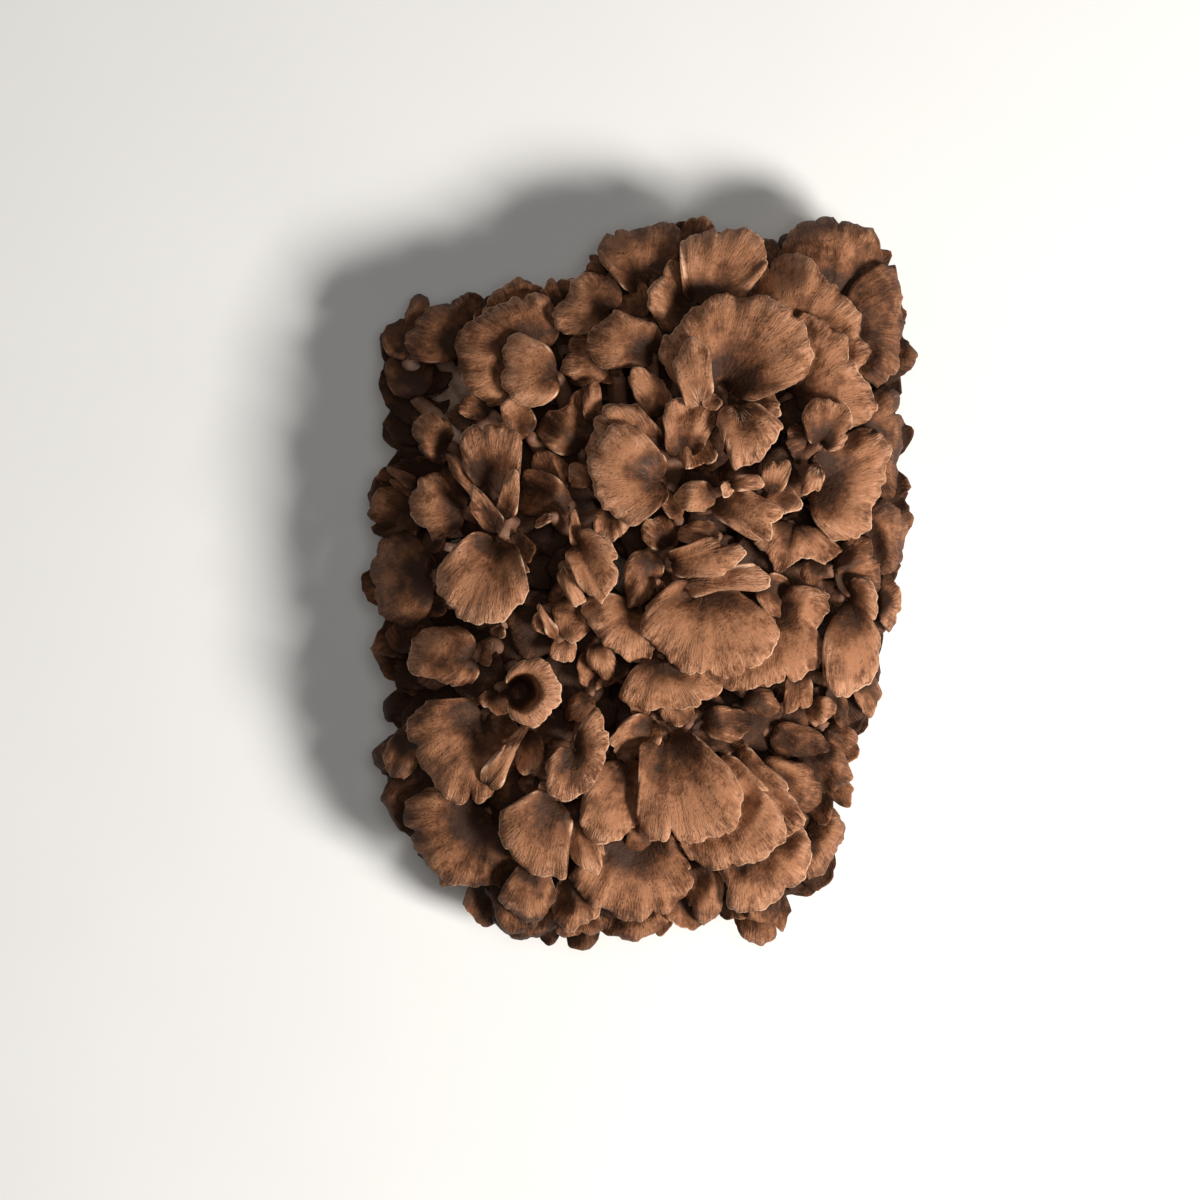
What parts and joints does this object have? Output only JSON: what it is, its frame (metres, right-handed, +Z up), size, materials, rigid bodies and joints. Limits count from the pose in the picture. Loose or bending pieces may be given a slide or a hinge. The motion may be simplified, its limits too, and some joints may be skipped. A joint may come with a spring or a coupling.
{
  "type": "maitake mushroom",
  "caption": "Maitake (hen of the woods) cluster: overlapping fan-shaped fronds on a branching pale stem with a flat cut foot.",
  "frame": {"origin": "centre of the flat cut foot, on the surface the cluster stands on", "axes": "+Z up through the cluster, +Y along its longer way in plan, +X to its right seen from above"},
  "size_m": [0.1102, 0.1496, 0.0418],
  "materials": {
    "frond_skin": "matt brown frond skin with fine radial streaks, a pale rim line and a pale porous underside",
    "stem_flesh": "matt cream flesh, faintly fibrous"
  },
  "bodies": {
    "root": {"stem": "stem_flesh", "crown_frond_1": "frond_skin", "crown_frond_2": "frond_skin", "crown_frond_3": "frond_skin", "crown_frond_4": "frond_skin", "crown_frond_5": "frond_skin", "crown_frond_6": "frond_skin", "crown_frond_7": "frond_skin", "crown_frond_8": "frond_skin", "crown_frond_9": "frond_skin", "crown_frond_10": "frond_skin", "crown_frond_11": "frond_skin", "crown_frond_12": "frond_skin", "crown_frond_13": "frond_skin", "crown_frond_14": "frond_skin", "north_frond_1": "frond_skin", "north_frond_2": "frond_skin", "north_frond_3": "frond_skin", "north_frond_4": "frond_skin", "north_frond_5": "frond_skin", "east_frond_1": "frond_skin", "east_frond_2": "frond_skin", "east_frond_3": "frond_skin", "east_frond_4": "frond_skin", "east_frond_5": "frond_skin", "east_frond_6": "frond_skin", "east_frond_7": "frond_skin", "east_frond_8": "frond_skin", "east_frond_9": "frond_skin", "east_frond_10": "frond_skin", "east_frond_11": "frond_skin", "south_frond_1": "frond_skin", "south_frond_2": "frond_skin", "south_frond_3": "frond_skin", "south_frond_4": "frond_skin", "south_frond_5": "frond_skin", "south_frond_6": "frond_skin", "south_frond_7": "frond_skin", "south_frond_8": "frond_skin", "south_frond_9": "frond_skin", "south_frond_10": "frond_skin", "south_frond_11": "frond_skin", "west_frond_1": "frond_skin", "west_frond_2": "frond_skin", "west_frond_3": "frond_skin", "west_frond_4": "frond_skin", "west_frond_5": "frond_skin", "west_frond_6": "frond_skin", "west_frond_7": "frond_skin", "west_frond_8": "frond_skin", "west_frond_9": "frond_skin", "west_frond_10": "frond_skin", "west_frond_11": "frond_skin", "west_frond_12": "frond_skin", "west_frond_13": "frond_skin", "skirt_frond_1": "frond_skin", "skirt_frond_2": "frond_skin", "skirt_frond_3": "frond_skin", "skirt_frond_4": "frond_skin", "skirt_frond_5": "frond_skin"}
  },
  "joints": []
}
